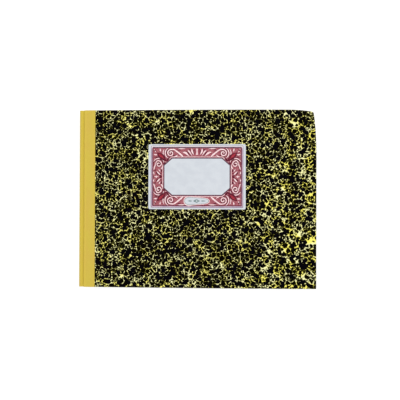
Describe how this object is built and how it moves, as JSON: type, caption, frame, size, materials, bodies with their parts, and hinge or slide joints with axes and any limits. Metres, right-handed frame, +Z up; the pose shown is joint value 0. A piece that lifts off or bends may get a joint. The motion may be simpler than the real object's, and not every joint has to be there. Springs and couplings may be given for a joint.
{
  "type": "account ledger",
  "caption": "Closed oblong ledger, quarter bound in cloth and cut flush, with marbled boards that open on cloth joints, a sewn block and a pasted title label.",
  "frame": {"origin": "middle of the underside of the closed book lying on its back cover, on the table it rests on", "axes": "+X from the spine to the fore-edge, +Y from the tail to the head, +Z up through the front cover"},
  "size_m": [0.2074, 0.155, 0.0148],
  "materials": {
    "page_paper": "matte",
    "lining_paper": "matte",
    "thread": "matte",
    "spine_cloth": "satin",
    "endpaper": "matte",
    "board": "matte",
    "marbled_paper": "satin",
    "label_paper": "matte"
  },
  "bodies": {
    "book_block": {"pages": "page_paper", "spine_lining": "lining_paper", "sewing_thread": "thread", "spine_cloth": "spine_cloth", "front_endpaper": "endpaper", "back_endpaper": "endpaper"},
    "front_cover": {"front_board": "board", "front_cover_paper": "marbled_paper", "title_label": "label_paper"},
    "back_cover": {"back_board": "board", "back_cover_paper": "marbled_paper"}
  },
  "joints": [
    {"name": "front_cover_hinge", "type": "hinge", "parent": "book_block", "child": "front_cover", "pos_m": [-0.10155, 0, 0.01167], "axis": [0, -1, 0], "range_deg": [0, 178], "deforming": ["spine_cloth", "front_endpaper"]},
    {"name": "back_cover_hinge", "type": "hinge", "parent": "book_block", "child": "back_cover", "pos_m": [-0.10155, 0, 0.00151], "axis": [0, 1, 0], "range_deg": [0, 178], "deforming": ["spine_cloth", "back_endpaper"]}
  ]
}
